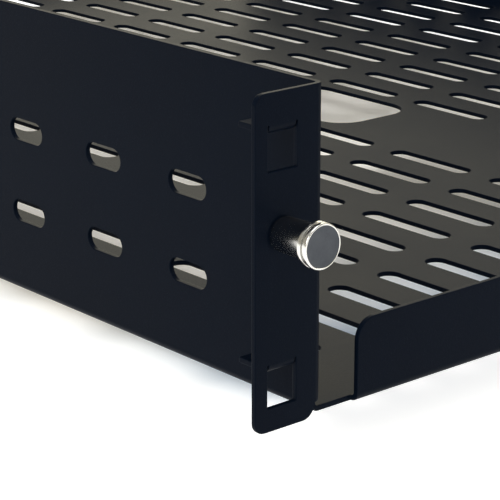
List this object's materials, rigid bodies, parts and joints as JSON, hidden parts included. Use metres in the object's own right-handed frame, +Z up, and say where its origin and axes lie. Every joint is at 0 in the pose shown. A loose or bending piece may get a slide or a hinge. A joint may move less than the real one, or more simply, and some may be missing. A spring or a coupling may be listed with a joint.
{
  "type": "cantilever rack shelf",
  "caption": "Two-unit cantilever rack shelf folded from slotted black sheet steel, hooked on and locked at each front ear by a spring plunger with a chrome knob.",
  "frame": {"origin": "mid-width of the shelf, in the plane of the ears' back faces, level with the underside of the floor", "axes": "+X to the right seen from the front, +Y from the front ears back into the rack, +Z up"},
  "size_m": [0.4826, 0.5565, 0.086],
  "materials": {
    "black_powder_coat": "satin black powder coat with a fine even texture",
    "bright_chrome": "polished chrome plate",
    "turned_steel": "fine turned steel"
  },
  "bodies": {
    "shelf": {"shelf_body": "black_powder_coat", "left_plunger_barrel": "turned_steel", "left_plunger_spring": "turned_steel", "right_plunger_barrel": "turned_steel", "right_plunger_spring": "turned_steel"},
    "left_plunger": {"left_plunger_pin": "turned_steel", "left_plunger_knob": "bright_chrome"},
    "right_plunger": {"right_plunger_pin": "turned_steel", "right_plunger_knob": "bright_chrome"}
  },
  "joints": [
    {"name": "left_plunger_pull", "type": "slide", "parent": "shelf", "child": "left_plunger", "axis": [0, -1, 0], "range_m": [0, 0.004], "stiffness_N_per_m": 1000, "springref_m": -0.005, "deforming": ["left_plunger_spring"]},
    {"name": "right_plunger_pull", "type": "slide", "parent": "shelf", "child": "right_plunger", "axis": [0, -1, 0], "range_m": [0, 0.004], "stiffness_N_per_m": 1000, "springref_m": -0.005, "deforming": ["right_plunger_spring"]}
  ]
}
